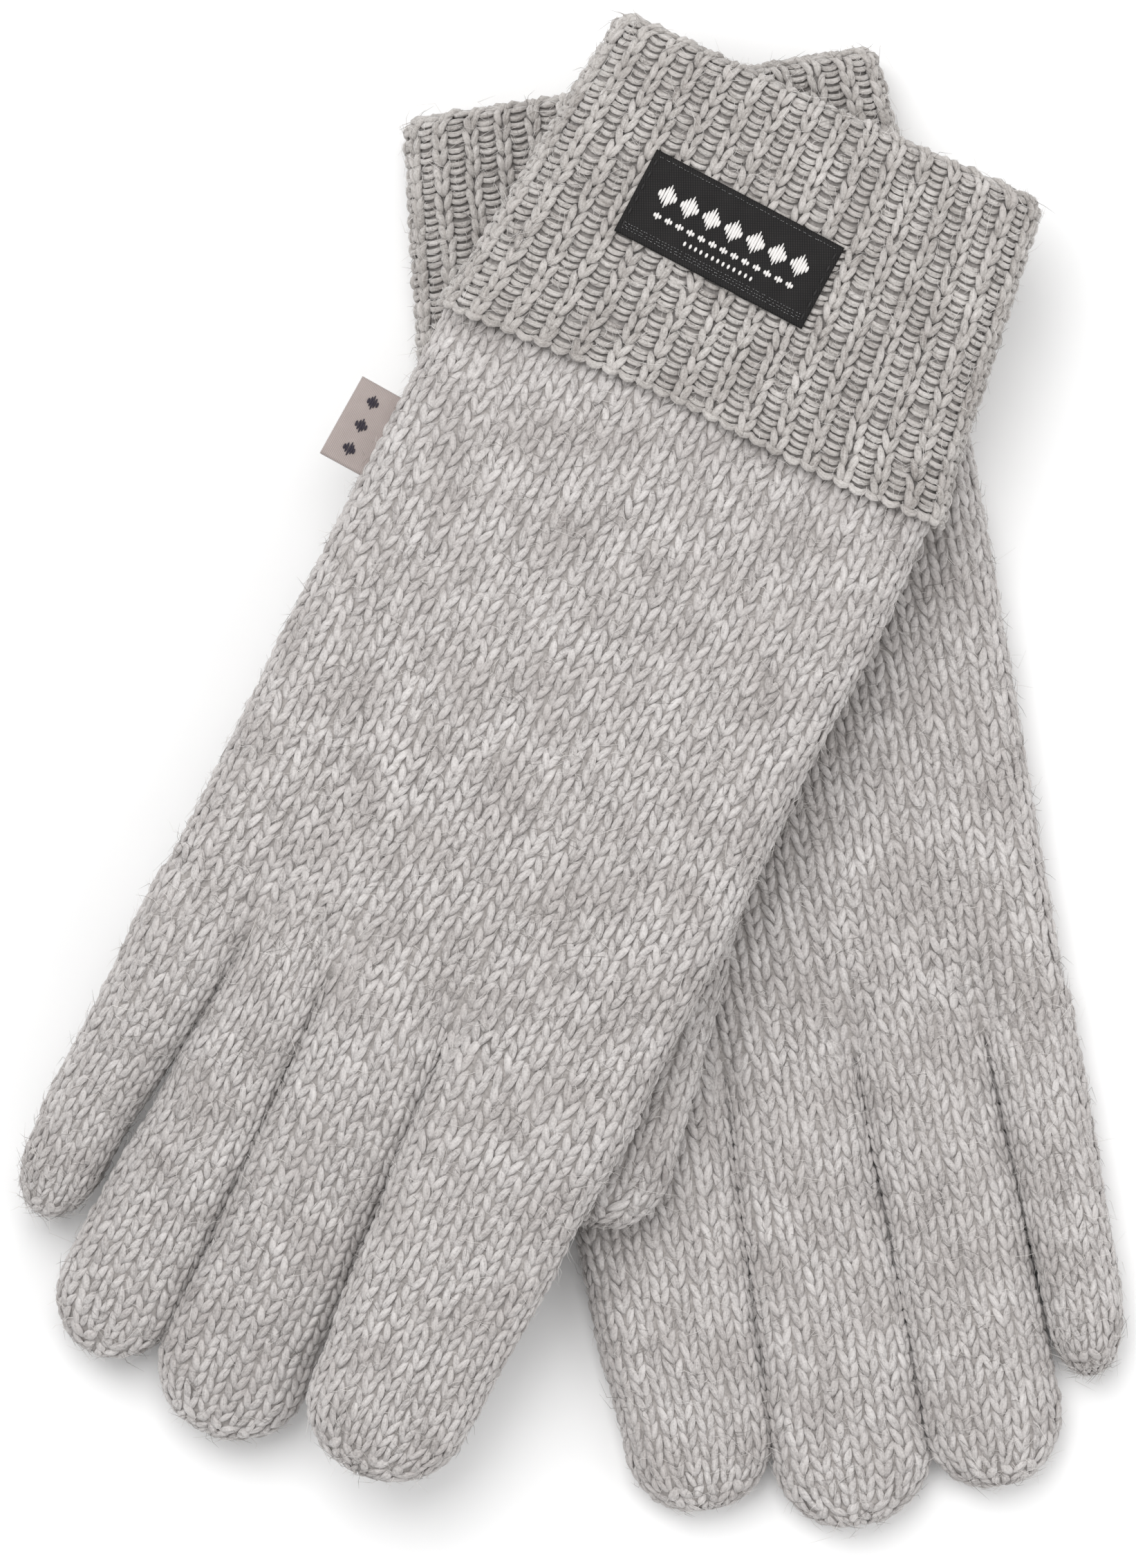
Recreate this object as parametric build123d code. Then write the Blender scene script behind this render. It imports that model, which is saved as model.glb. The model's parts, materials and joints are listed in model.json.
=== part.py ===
"""A pair of lined knitted gloves, lying flat with the backs of the hands up, the right one across the left.

Each glove is a knitted shell with four finger tubes and a thumb tube, a thermal insulation layer inside
it and a fleece lining inside that, a ribbed wrist, and a ribbed band that is turned up over the wrist.

Every glove is modelled in its own frame: the origin is on the glove's middle plane at the folded end of
its cuff, +Y runs to the fingertips, +Z leaves the back of the hand, and the thumb is at +X on the left
glove and at -X on the right one. Sizes are in millimetres.
"""

import os
from math import radians, sin

from build123d import *

# Stations along the glove, from the folded end of the cuff
CUFF_LENGTH = 59.0
WRIST_END = 61.5
HAND_END = 172.0

# Half widths of the flat glove: (towards the thumb, towards the little finger)
WRIST_HALF_START = (40.3, 40.3)
WRIST_HALF_END = (46.0, 46.0)
HAND_HALF_START = (48.6, 46.0)
HAND_HALF_END = (45.6, 50.0)

# Thicknesses of the flat glove, both faces together
HAND_THICK = 12.2
FINGER_THICK = 9.6
LITTLE_THICK = 12.0
THUMB_THICK = 9.2

# Each layer lies between two depths below the glove's outer face
LAYERS = {"knit": (0.0, 1.7), "insulation": (1.8, 2.4), "lining": (2.5, 3.1)}
RIB_WALL = 2.2
BAND_WALL = 2.4
BAND_CLEARANCE = 0.35
BAND_THICK = HAND_THICK + 2 * (BAND_CLEARANCE + BAND_WALL)

# Finger tubes: (centre across the hand, width, thickness, station of the tip)
FINGERS = {
    "index": (27.75, 29.0, FINGER_THICK, 255.5),
    "middle": (-0.5, 26.5, FINGER_THICK, 261.0),
    "ring": (-25.75, 23.0, FINGER_THICK, 256.5),
    "little": (-45.25, 15.0, LITTLE_THICK, 238.5),
}
TIP_ROUNDNESS = 0.62  # length of a rounded tip, as a share of the tube's width
FINGER_GAP = 0.4  # between the hand's end and a finger's rounded base

THUMB_WIDTH = 23.0
THUMB_REACH = 59.0  # from the thumb's swivel to its tip, without the tip's half width
THUMB_MOUTH = 0.5  # the thumb is cut open this share of its half width behind its swivel

# The woven label on the right cuff, and the folded flag label in the right glove's side
LABEL_SIZE = (37.5, 15.6, 0.6)
LABEL_CENTRE = (-5.1, 28.2)
LABEL_TURN = 3.3
STITCH_SIZE = (0.35, 1.7, 0.3)
STITCHES_PER_END = 6
FLAG_SIZE = (8.4, 16.0, 0.9)
FLAG_STATION = 85.0
FLAG_GAP = 1.1  # between the hand's side and the flag label's sewn edge

# How far the edges of a flattened tube are rounded, as a share of its half thickness
ROUNDING = 0.92
MARGIN = 30.0  # extra length of a blank that is trimmed at its open ends

# Where each glove lies: its origin, its heading and its pitch in degrees (fingers up is positive)
LEFT_HEADING, RIGHT_HEADING = 189.0, 155.5
LEFT_PITCH, RIGHT_PITCH = -1.37, 0.45
LEFT_ORIGIN = (12.4, 124.3, BAND_THICK / 2 + CUFF_LENGTH * sin(radians(-LEFT_PITCH)))
RIGHT_ORIGIN = (45.0, 119.9, 28.65)
# How far each finger hangs below its hand in degrees: to the table, or to the thumb tucked under an index
LEFT_DROOP = {"index": -0.53, "middle": -0.53, "ring": -0.53, "little": -1.5}
RIGHT_DROOP = {"index": 9.8, "middle": 17.7, "ring": 18.7, "little": 23.6}

# Thumb poses: (across, along, height of its middle plane, turn away from the hand, pitch), in degrees
LEFT_THUMB = (59.8, 128.0, (THUMB_THICK - HAND_THICK) / 2, 0.0, 0.7)
RIGHT_THUMB = (33.0, 128.5, -(HAND_THICK + THUMB_THICK) / 2 - 0.7, 10.5, -1.5)


def cushion(face, half):
    """A flat face thickened by half to each side, with its top and bottom rims rounded off."""
    body = extrude(face, amount=half, both=True)
    levels = body.edges().group_by(Axis.Z)
    return fillet(levels[0] + levels[-1], ROUNDING * half)


def trapezium(start, end, half_start, half_end, side, inset):
    """A tube's flat outline, run on past both ends, with every edge moved in by inset."""
    slope = [(b - a) / (end - start) for a, b in zip(half_start, half_end)]

    def corner(which, station, sign):
        wide = half_start[which] + slope[which] * (station - start) - inset
        return (side * sign * wide, station)

    low, high = start - MARGIN, end + MARGIN
    corners = [corner(0, low, 1), corner(0, high, 1), corner(1, high, -1), corner(1, low, -1)]
    return make_face(Polyline(*corners, close=True))


def slab(start, end):
    """All the space between two stations of a glove."""
    return Pos(0, (start + end) / 2, 0) * Box(300, end - start, 100)


def open_tube(start, end, half_start, half_end, thick, depths, side):
    """A flattened tube that is open at both ends, between two depths below its outer face."""
    outer, inner = [
        cushion(trapezium(start, end, half_start, half_end, side, depth), thick / 2 - depth)
        for depth in depths
    ]
    return (outer - inner) & slab(start, end)


def blunt_outline(width, start, tip, inset):
    """A finger's flat outline: straight sides and a rounded tip."""
    wide, end = width - 2 * inset, tip - inset
    round_length = TIP_ROUNDNESS * wide
    straight = end - round_length - start
    return Pos(0, start + straight / 2) * Rectangle(wide, straight) + Pos(0, start + straight) * Ellipse(
        wide / 2, round_length
    )


def finger_hinge(name):
    """The station of a finger's bending axis, at the centre of its rounded base."""
    return HAND_END + FINGER_GAP + FINGERS[name][2] / 2


def finger(name, depths, side, droop):
    """One layer of a finger: closed at the tip, and open at a base that is round about its hinge."""
    centre, width, thick, tip = FINGERS[name]
    hinge = finger_hinge(name)
    outer, inner = [
        cushion(blunt_outline(width, hinge - MARGIN, tip, depth), thick / 2 - depth) for depth in depths
    ]
    base = Pos(0, hinge, 0) * Rot(0, 90, 0) * Cylinder(thick / 2, width + MARGIN)
    tube = (outer - inner) & (slab(hinge, tip + MARGIN) + base)
    at_hinge = Pos(side * centre, hinge, 0) * Rot(-droop, 0, 0) * Pos(0, -hinge, 0)
    return at_hinge * tube


def thumb(depths, side, pose):
    """One layer of the thumb: closed at the tip, with a round base that is cut open towards the wrist."""
    across, along, height, turn, pitch = pose
    radius = THUMB_WIDTH / 2
    tip = THUMB_REACH + radius
    outer, inner = [
        cushion(
            blunt_outline(THUMB_WIDTH, 0, tip, depth) + Circle(radius - depth),
            THUMB_THICK / 2 - depth,
        )
        for depth in depths
    ]
    tube = (outer - inner) & slab(-THUMB_MOUTH * radius, tip + MARGIN)
    return Pos(side * across, along, height) * Rot(0, 0, -side * turn) * Rot(pitch, 0, 0) * tube


def thumb_hole(side, pose):
    """What is cut out of the hand where the thumb leaves it: its side wall, or the palm above a tucked thumb."""
    across, along, height = pose[:3]
    beside = across > HAND_HALF_START[0]
    if beside:
        return Pos(side * (HAND_HALF_START[0] + 2), along, 0) * Box(16, THUMB_WIDTH - 6, 3.4)
    return Pos(side * across, along, height / 2 - 4) * Box(9, THUMB_WIDTH - 5, abs(height) - 3)


def band(side):
    """The turned-up cuff: a flared tube that clears the ribbed wrist all round."""
    clear = BAND_CLEARANCE + BAND_WALL
    half_start = tuple(half + clear for half in WRIST_HALF_START)
    flare = (WRIST_HALF_END[0] - WRIST_HALF_START[0]) * CUFF_LENGTH / WRIST_END
    half_end = tuple(half + flare for half in half_start)
    return open_tube(0, CUFF_LENGTH, half_start, half_end, BAND_THICK, (0, BAND_WALL), side)


def lining_binding(side):
    """The bound edge that joins the lining to the ribbed wrist, as a flat ring inside the wrist."""
    ring_length = 3.0
    tube = open_tube(
        0, WRIST_END, WRIST_HALF_START, WRIST_HALF_END, HAND_THICK, (RIB_WALL + 0.1, RIB_WALL + 1.3), side
    )
    return tube & slab(WRIST_END - ring_length, WRIST_END)


def woven_label(side):
    """The woven label that lies on the turned-up band."""
    place = Pos(side * LABEL_CENTRE[0], LABEL_CENTRE[1], BAND_THICK / 2 + LABEL_SIZE[2] / 2)
    return place * Rot(0, 0, side * LABEL_TURN) * Box(*LABEL_SIZE)


def label_stitches(side):
    """The short stitches that hold the label at its two ends, as separate solids on its face."""
    place = Pos(side * LABEL_CENTRE[0], LABEL_CENTRE[1], BAND_THICK / 2 + LABEL_SIZE[2] + STITCH_SIZE[2] / 2)
    pitch = (LABEL_SIZE[1] - 2 * STITCH_SIZE[1]) / (STITCHES_PER_END - 1)
    stitches = [
        place
        * Rot(0, 0, side * LABEL_TURN)
        * Pos(end * (LABEL_SIZE[0] / 2 - 1.2), (row - (STITCHES_PER_END - 1) / 2) * pitch, 0)
        * Box(*STITCH_SIZE)
        for end in (-1, 1)
        for row in range(STITCHES_PER_END)
    ]
    return Compound(children=stitches)


def flag_root(side):
    """The middle of the flag label's sewn edge, on the little finger's side of the hand."""
    share = (FLAG_STATION - WRIST_END) / (HAND_END - WRIST_END)
    half = HAND_HALF_START[1] + share * (HAND_HALF_END[1] - HAND_HALF_START[1])
    return (-side * (half + FLAG_GAP), FLAG_STATION, 0)


def flag_label(side):
    """The small folded label that stands out of the side seam, thicker along its folded edge."""
    long, tall, thick = FLAG_SIZE
    fold = Cylinder(thick * 0.62, tall, rotation=(90, 0, 0))
    return Pos(*flag_root(side)) * (
        Pos(-side * long / 2, 0, 0) * Box(long, tall, thick) + Pos(-side * (long - thick * 0.62), 0, 0) * fold
    )


def place(origin, heading, pitch):
    """Where a glove's own frame lies on the table."""
    return Location(origin) * Rot(0, 0, heading) * Rot(pitch, 0, 0)


def glove(side, droop, thumb_pose):
    """All the pieces of one glove in its own frame, by name."""
    hole = thumb_hole(side, thumb_pose)
    pieces = {
        "wrist_rib": open_tube(
            0, WRIST_END, WRIST_HALF_START, WRIST_HALF_END, HAND_THICK, (0, RIB_WALL), side
        ),
        "cuff_turnup": band(side),
        "lining_binding": lining_binding(side),
    }
    for layer, depths in LAYERS.items():
        hand = open_tube(WRIST_END, HAND_END, HAND_HALF_START, HAND_HALF_END, HAND_THICK, depths, side)
        pieces[f"hand_{layer}"] = hand - hole
        pieces[f"thumb_{layer}"] = thumb(depths, side, thumb_pose)
        for name in FINGERS:
            pieces[f"{name}_{layer}"] = finger(name, depths, side, droop[name])
    return pieces


LEFT_PLACE = place(LEFT_ORIGIN, LEFT_HEADING, LEFT_PITCH)
RIGHT_PLACE = place(RIGHT_ORIGIN, RIGHT_HEADING, RIGHT_PITCH)


def pair():
    """Both gloves where they lie, by node name."""
    left = glove(1, LEFT_DROOP, LEFT_THUMB)
    right = glove(-1, RIGHT_DROOP, RIGHT_THUMB)
    right["woven_label"] = woven_label(-1)
    right["label_stitches"] = label_stitches(-1)
    right["flag_label"] = flag_label(-1)
    nodes = {f"left_{name}": LEFT_PLACE * piece for name, piece in left.items()}
    nodes.update({f"right_{name}": RIGHT_PLACE * piece for name, piece in right.items()})
    return nodes


def to_origin(nodes):
    """The shift that puts the pair's bottom centre at the origin."""
    box = Compound(children=[Compound(node.solids()) for node in nodes.values()]).bounding_box()
    return Pos(-box.center().X, -box.center().Y, -box.min.Z)


def main():
    """Writes one STEP file for each node."""
    os.makedirs("parts", exist_ok=True)
    nodes = pair()
    shift = to_origin(nodes)
    for name, node in nodes.items():
        export_step(shift * node, f"parts/{name}.step")


if __name__ == "__main__":
    main()
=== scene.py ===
"""A pair of lined, knitted wool gloves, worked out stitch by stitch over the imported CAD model.

Every glove is shaped in its own frame in millimetres: the origin is the middle of the folded cuff,
y runs to the fingertips, z leaves the back of the hand and h runs across it towards the thumb.
A tube's surface is a function of two parameters: the share u of the way round it, from the middle
of the back towards the thumb, and the station s along it.
"""

import json
from math import atan2, cos, pi, radians, sin

import bpy
import numpy as np
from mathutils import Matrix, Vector


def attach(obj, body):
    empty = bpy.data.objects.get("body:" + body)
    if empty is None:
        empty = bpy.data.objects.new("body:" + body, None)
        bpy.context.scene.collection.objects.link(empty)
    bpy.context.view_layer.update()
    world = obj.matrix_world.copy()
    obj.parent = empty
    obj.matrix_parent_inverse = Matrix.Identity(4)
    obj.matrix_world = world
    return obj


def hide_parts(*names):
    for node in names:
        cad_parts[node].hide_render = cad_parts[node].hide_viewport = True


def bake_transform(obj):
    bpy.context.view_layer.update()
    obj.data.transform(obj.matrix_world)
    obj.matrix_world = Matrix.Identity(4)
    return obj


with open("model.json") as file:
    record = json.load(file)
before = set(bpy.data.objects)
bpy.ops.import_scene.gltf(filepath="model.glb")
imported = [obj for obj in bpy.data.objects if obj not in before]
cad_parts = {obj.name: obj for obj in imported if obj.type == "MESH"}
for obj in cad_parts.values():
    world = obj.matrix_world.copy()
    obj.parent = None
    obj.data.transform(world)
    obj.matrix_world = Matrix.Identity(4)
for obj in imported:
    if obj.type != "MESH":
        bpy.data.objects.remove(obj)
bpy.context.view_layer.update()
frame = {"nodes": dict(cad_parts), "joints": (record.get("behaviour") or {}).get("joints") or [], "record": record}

MM = 0.001
rng = np.random.default_rng(7)

# The knit, in millimetres: one wale is a column of stitches, one course is a row
WALE = 3.6
COURSE = 2.6
RIB_COURSE = 2.65  # a course of the cuffs' rib
RIBS = 33  # ribs around a cuff
YARN_OUT = 0.5  # how far the stitches stand out past a surface's edge
RIB_TOP = 0.75  # how far a cuff's ribs stand above its surface

# Stations and lengths along a glove
CUFF = 59.0  # length of the turned-up cuff
FOLD = 2.2  # radius of the cuff's fold
CUFF_INSIDE = 8.0  # how far the cuff runs back inside the mouth, past its fold
WRIST_START = 10.0  # the ribbed wrist's first course, inside the cuff
HAND_START = 54.6  # the hand's first course, under the cuff's hem
TAPE_WIDTH = 11.0  # width of the tape that binds the lining's edge to the wrist
TUBE_INSIDE = 9.0  # how far the shells of a finger or a thumb run back inside the hand
TIP_ROUND = 12.5  # length of a finger's rounded tip
THUMB_ROUND = 12.0  # length of a thumb's rounded tip
TIP_END = pi / 2 - 0.003  # angle of a rounded tip's last ring, just short of its pole

# Half thicknesses of the flat tubes
BAND_HALF = 8.85  # the turned-up cuff
WRIST_HALF = 6.1  # the ribbed wrist
HAND_ROOT_HALF = 4.9  # the hand where it leaves the cuff
HAND_HALF = 6.1  # the hand further on
FINGER_HALF = 5.4  # a finger past its base
THUMB_HALF = 4.9  # a thumb

# Across a hand: stations along it, its edge on the thumb's side and its edge on the other side
EDGES = {
    "right": ((54, 86, 111, 145, 176), (48.2, 48.1, 46.5, 46.0, 44.6), (-46.2, -47.6, -48.7, -49.4, -50.8)),
    "left": ((54, 86, 111, 145, 176), (48.2, 48.1, 46.5, 46.0, 45.0), (-48.4, -49.0, -49.4, -49.6, -50.2)),
}
# Fingers: edges at the base, edges near the tip, station of the tip, base course, stitches shared
# with each face of the hand, and stitches around the finger
FINGERS = {
    "right": {
        "index": ((7.5, 44.6), (11.0, 39.6), 256.4, 47, 11, 22),
        "middle": ((-15.9, 7.5), (-15.9, 10.8), 263.6, 45, 6, 18),
        "ring": ((-31.8, -15.9), (-37.6, -15.9), 259.2, 44, 5, 16),
        "little": ((-50.8, -31.8), (-52.6, -38.4), 240.8, 45, 6, 15),
    },
    "left": {
        "index": ((12.9, 45.0), (14.8, 40.8), 253.6, 47, 10, 20),
        "middle": ((-10.7, 12.9), (-12.7, 14.8), 260.6, 46, 6, 18),
        "ring": ((-34.0, -10.7), (-37.2, -12.7), 257.6, 45, 7, 18),
        "little": ((-50.2, -34.0), (-50.9, -37.6), 240.4, 45, 5, 14),
    },
}
THUMB_HALF_WIDTH = 11.9
THUMB_AROUND = 17  # stitches around a thumb
THUMB_START = -10.0  # a thumb's first course, behind its swivel
THUMB_INSIDE = 34.5  # how far across the glove a thumb's root ends, inside the hand

# The woven label and the folded satin label, on the right glove only
LABEL = (37.5, 16.3)  # width across the glove and height along it
LABEL_PLACE = (-5.5, 28.9)  # h and y of its middle
LABEL_TURN = radians(3.3)
LABEL_CLEARING = ((-26.0, 15.0), (18.0, 39.0))  # lowest and highest h and y that grow no loose fibres
FLAG = (8.4, 15.6)  # how far the folded label stands out, and its width along the seam
FLAG_STATION = 86.2  # its middle along the seam
FLAG_FOLD = 0.45  # radius of its fold
FLAG_SPREAD = 0.009  # share by which it stands further out, for each millimetre along the seam
FLAG_SLANT = 0.08  # how far it falls back towards the cuff, for each millimetre out


def step(x):
    """A smooth step: 0 below 0, 1 above 1, and 3x^2 - 2x^3 between."""
    x = np.clip(x, 0.0, 1.0)
    return x * x * (3.0 - 2.0 * x)


def joint(name):
    """The joint of this name."""
    return next(j for j in frame["joints"] if j["name"] == name)


def mount(name):
    """The mount of this name."""
    return next(m for m in frame["record"]["mounts"] if m["name"] == name)


class Glove:
    """A glove's own frame: its origin, its three directions and the sign of its thumb's side."""

    def __init__(self, name, side):
        self.name, self.side = name, side
        mouth = mount(f"{name}_wrist_mouth")
        self.origin = np.array(mouth["pos_m"]) / MM
        self.along = -np.array(mouth["axis"], float)
        self.across = np.array(joint(f"{name}_index_lift")["axis"], float)
        self.up = np.cross(self.across, self.along)

    def world(self, points):
        """Points (h, y, z) of the glove as metres in the shared frame."""
        h, y, z = points[..., 0:1], points[..., 1:2], points[..., 2:3]
        placed = self.origin + self.side * h * self.across + y * self.along + z * self.up
        return placed * MM

    def local(self, points):
        """Points of the shared frame, in metres, as (h, y, z) of the glove."""
        rel = np.asarray(points) / MM - self.origin
        return np.stack([rel @ self.across * self.side, rel @ self.along, rel @ self.up], axis=-1)

    def node_points(self, node):
        """The vertices of one of the glove's CAD nodes, as (h, y, z)."""
        mesh = frame["nodes"][f"{self.name}_{node}"].data
        flat = np.empty(len(mesh.vertices) * 3)
        mesh.vertices.foreach_get("co", flat)
        return self.local(flat.reshape(-1, 3))

    def hinge(self, finger):
        """The point that a finger or the thumb turns about."""
        kind = "swing" if finger == "thumb" else "lift"
        return self.local(joint(f"{self.name}_{finger}_{kind}")["pos_m"])

    def droop(self, finger):
        """How far a CAD finger hangs below its hand, in radians, from its hinge to its tip."""
        points = self.node_points(f"{finger}_knit")
        tip = points[points[:, 1] > points[:, 1].max() - 2.0].mean(axis=0)
        run = tip - self.hinge(finger)
        return atan2(-run[2], run[1])


def ring(u, half_width, half_thick, crown):
    """A flattened ring: flat, half a circle, flat again, from the middle of the back towards the thumb.

    Its length round is 4 (width - thick) + 2 pi thick, and the back is crowned by a parabola.
    """
    flat = np.maximum(half_width - half_thick, 0.0)
    length = 4 * flat + 2 * pi * half_thick
    turn = (u + 0.5) % 1.0 - 0.5
    run = np.abs(turn) * length
    angle = np.clip((run - flat) / np.maximum(half_thick, 1e-6), 0.0, pi)
    h = np.minimum(run, flat) + half_thick * np.sin(angle) - np.maximum(run - flat - pi * half_thick, 0.0)
    z = half_thick * np.cos(angle)
    z = z + crown * np.clip(np.cos(angle), 0, 1) * (1 - (h / np.maximum(half_width, 1e-6)) ** 2)
    return np.sign(turn) * h, z


def soft(h, y, seed):
    """Gentle unevenness of a soft surface: three crossed sine waves, between about -1 and 1."""
    return (
        np.sin(h * 0.093 + y * 0.041 + seed)
        + np.sin(h * -0.051 + y * 0.087 + seed * 2.3)
        + np.sin(h * 0.17 + y * 0.13 + seed * 5.1) * 0.5
    ) / 2.5


def base_station(glove, finger):
    """The station where a finger's own courses begin."""
    return HAND_START + COURSE * FINGERS[glove.name][finger][3]


def hand_edges(glove, s):
    """The hand's two edges at a station, straight between the given ones."""
    stations, thumb_side, other_side = EDGES[glove.name]
    return np.interp(s, stations, other_side), np.interp(s, stations, thumb_side)


def crotch_dip(glove, h, s):
    """The share of its height that a face keeps between two fingers.

    It falls towards a crotch by a smooth step along the hand and by a bell curve across it.
    """
    rows, kept = FINGERS[glove.name], 1.0
    for a, b in (("index", "middle"), ("middle", "ring"), ("ring", "little")):
        station = (base_station(glove, a) + base_station(glove, b)) / 2
        deep = step((s - station + 13.0) / 15.0) * np.exp(-(((h - rows[a][0][0]) / 3.4) ** 2))
        kept = kept * (1 - 0.55 * deep)
    return kept


def hand_surface(glove):
    """The hand's surface: a flattened ring whose edges follow the hand's outline.

    It thickens by a smooth step past the cuff, and its crown and its unevenness fade by another
    towards the fingers.
    """

    def at(u, s):
        low, high = hand_edges(glove, s)
        thick = HAND_ROOT_HALF + (HAND_HALF - HAND_ROOT_HALF) * step((s - HAND_START) / 26.0)
        calm = 1 - step((s - 140.0) / 28.0)
        h, z = ring(u, (high - low) / 2 - YARN_OUT, thick, 1.6 * calm)
        h = h + (high + low) / 2
        z = (z + 0.5 * calm * soft(h, s, 1.0 + glove.side) * z / thick) * crotch_dip(glove, h, s)
        return np.stack([h, s + 0 * h, z], axis=-1)

    return at


def bent(points, start, length, droop):
    """Points turned down about a line across the hand.

    The slope grows from 0 at start to droop over the length, by the smooth step, and the middle
    plane follows the sums of its cosine and sine.
    """
    fine = np.linspace(start - 40.0, start + 140.0, 721)
    slope = droop * step((fine - start) / length)
    run = fine[0] + np.concatenate([[0], np.cumsum(np.cos(slope[:-1]) * np.diff(fine))])
    fall = -np.concatenate([[0], np.cumsum(np.sin(slope[:-1]) * np.diff(fine))])
    h, y, z = points[..., 0], points[..., 1], points[..., 2]
    here = droop * step((y - start) / length)
    along = np.interp(y, fine, run) + z * np.sin(here)
    return np.stack([h, along, np.interp(y, fine, fall) + z * np.cos(here)], axis=-1)


def tip_course(s, tip, length):
    """Station and width share at distance s along a finger: straight, then a quarter of an ellipse."""
    angle = np.clip((s - (tip - length)) / length, 0.0, TIP_END)
    station = np.where(s < tip - length, s, tip - length + length * np.sin(angle))
    return station, np.cos(angle)


def finger_surface(glove, finger):
    """A finger's surface: a flattened ring between its two edges, closed by a round tip.

    At the base its rim is lifted towards the hand's face, as the web between two fingers is. Behind
    the base it draws in by a smooth step, so that its shells run on inside the hand.
    """
    base, near_tip, tip, _, _, _ = FINGERS[glove.name][finger]
    start = base_station(glove, finger)
    hinge = glove.hinge(finger)[1]
    droop = glove.droop(finger)
    thick_at_tip = FINGER_HALF + (0.5 if finger == "little" else 0.0)
    seed = {"index": 0.4, "middle": 1.9, "ring": 3.1, "little": 4.4}[finger] + glove.side

    def at(u, s):
        station, share = tip_course(s, tip, TIP_ROUND)
        past = step((station - start) / 22.0)
        grow = np.clip((station - start) / (tip - TIP_ROUND - start), 0.0, 1.0)
        low = base[0] + (near_tip[0] - base[0]) * grow
        high = base[1] + (near_tip[1] - base[1]) * grow
        behind = step((start - station) / 4.0)
        wide = ((high - low) / 2 + 0.1 - 1.3 * behind) * share
        thick = HAND_HALF + (thick_at_tip - HAND_HALF) * past
        thick = np.minimum(thick * np.sqrt(share), wide)
        h, z = ring(u, wide, thick, 1.2 * share * past)
        inner = np.where(h > 0, finger != "index", finger != "little")
        web = 0.5 * (1 - step((station - start) / 18.0)) * inner
        z = z + web * (thick - np.abs(z)) * np.clip(z / (0.3 * thick), -1, 1)
        h = h + (high + low) / 2 + 0.4 * past * soft(h * 0, station * 2.2, seed)
        fade = step((station - start) / 12.0)
        z = z * (fade + (1 - fade) * crotch_dip(glove, h, station))
        z = z * (1 - 0.12 * behind)
        z = z + 0.35 * past * share * soft(h, station * 1.6, seed) * z / np.maximum(thick, 1e-6)
        return bent(np.stack([h, station, z], axis=-1), start, 2 * (hinge - start) + 6.0, droop)

    return at


def thumb_surface(glove):
    """The thumb's surface: a flattened ring along its own line, from its swivel to its round tip.

    Towards its root it moves sideways and down into the hand by a smooth step.
    """
    swivel = glove.hinge("thumb")
    points = glove.node_points("thumb_knit")
    far = points[np.argsort(points[:, 1])[-40:]].mean(axis=0) - swivel
    heading = np.array([far[0], far[1]]) / np.hypot(far[0], far[1])
    reach = (points[:, :2] - swivel[:2]) @ heading
    length = reach.max() + 0.5
    to_hand = (THUMB_INSIDE - swivel[0], -swivel[2])
    pitch = far[2] / np.hypot(far[0], far[1])

    def at(u, s):
        station, share = tip_course(s, length, THUMB_ROUND)
        wide = (THUMB_HALF_WIDTH - 0.8 + 0.8 * step(station / 30.0)) * share
        thick = np.minimum(THUMB_HALF * np.sqrt(share), wide)
        across, z = ring(u, wide, thick, 0.8 * share)
        h = swivel[0] + heading[0] * station + heading[1] * across
        y = swivel[1] + heading[1] * station - heading[0] * across
        z = z + swivel[2] + pitch * station + 0.3 * soft(across, station * 1.4, 2.0) * z / 5.0
        root = 1 - step((station + 8.0) / 26.0)
        h, z = h + root * to_hand[0], z + root * to_hand[1]
        return np.stack([h, y, z], axis=-1)

    return at


def cuff_sizes(glove, station):
    """The turned-up cuff's middle, half width and half thickness under the ribs at a station.

    All three change in a straight line from the fold to the hem, which flares by a smooth step.
    """
    share = station / CUFF
    middle = {"right": (1.4, 1.1), "left": (0.2, 0.0)}[glove.name]
    half = {"right": (41.0, 47.8), "left": (42.2, 48.1)}[glove.name]
    flare = 0.9 * step((station - 48.0) / 11.0)
    thick = BAND_HALF - RIB_TOP - 0.9 + 0.7 * share + 0.5 * flare
    centre = middle[0] + (middle[1] - middle[0]) * share
    return centre, half[0] + (half[1] - half[0]) * share + flare, thick


def cuff_surface(glove):
    """The turned-up cuff: from its hem to its fold, round the fold and back inside the mouth.

    The distance s is measured from the fold's start, positive towards the hem. Round the fold it
    runs over half a circle, and past that it runs inside, where s is negative.
    """

    def at(u, s):
        angle = np.clip(-s / FOLD, 0.0, pi)
        station = FOLD + np.maximum(s, 0) - FOLD * np.sin(angle) + np.maximum(-s - pi * FOLD, 0)
        deep = FOLD * (1 - np.cos(angle))
        middle, wide, thick = cuff_sizes(glove, station)
        h, z = ring(u, wide - deep, thick - deep, 0.5)
        h = h + middle
        z = z + 0.35 * soft(h * 0.6, station * 1.3, 6.0 + glove.side) * z / BAND_HALF
        y = station + 0.7 * np.sin(h * 0.09 + glove.side) * step((station - 30) / 29.0)
        return np.stack([h, y + 0 * h, z], axis=-1)

    return at


def wrist_surface():
    """The ribbed wrist under the turned-up cuff: a flattened ring that widens to the hand."""

    def at(u, s):
        share = s / CUFF
        h, z = ring(u, 40.0 + 6.0 * share, WRIST_HALF - 0.6, 0.2)
        return np.stack([h + 0.7, s + 0 * h, z], axis=-1)

    return at


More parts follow.
